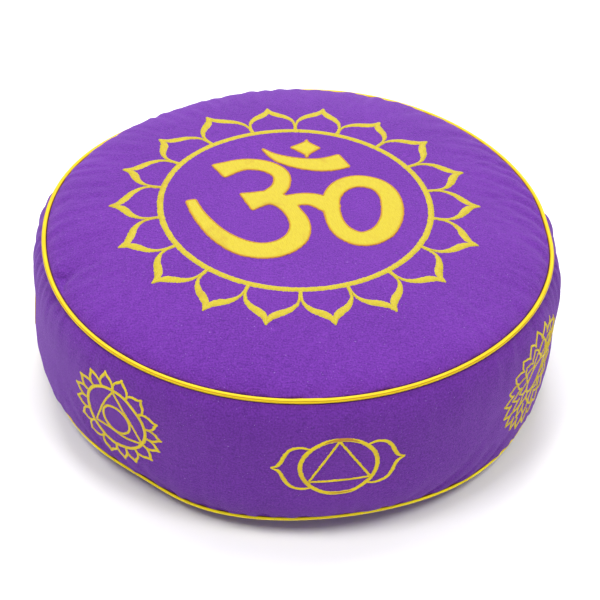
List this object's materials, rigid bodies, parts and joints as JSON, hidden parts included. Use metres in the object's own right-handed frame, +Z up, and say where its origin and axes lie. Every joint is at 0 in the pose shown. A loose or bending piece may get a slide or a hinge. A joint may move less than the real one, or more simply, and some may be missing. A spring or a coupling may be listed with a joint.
{
  "type": "zafu meditation cushion",
  "caption": "round filled zafu meditation cushion in purple cotton, with a crowned top, a bulging side band and yellow satin piping along its seams",
  "frame": {"origin": "on the floor, under the middle of the cushion", "axes": "+Z up through the crowned top, -Y towards the front where the piping's join shows, +X to the right seen from the front"},
  "size_m": [0.3519, 0.36, 0.134],
  "materials": {
    "cushion_cloth": "brushed cotton",
    "piping_satin": "satin",
    "embroidery_thread": "satin thread",
    "embroidery_outline": "satin thread"
  },
  "bodies": {
    "root": {"cushion": "cushion_cloth", "piping_top": "piping_satin", "piping_bottom": "piping_satin"}
  },
  "joints": []
}
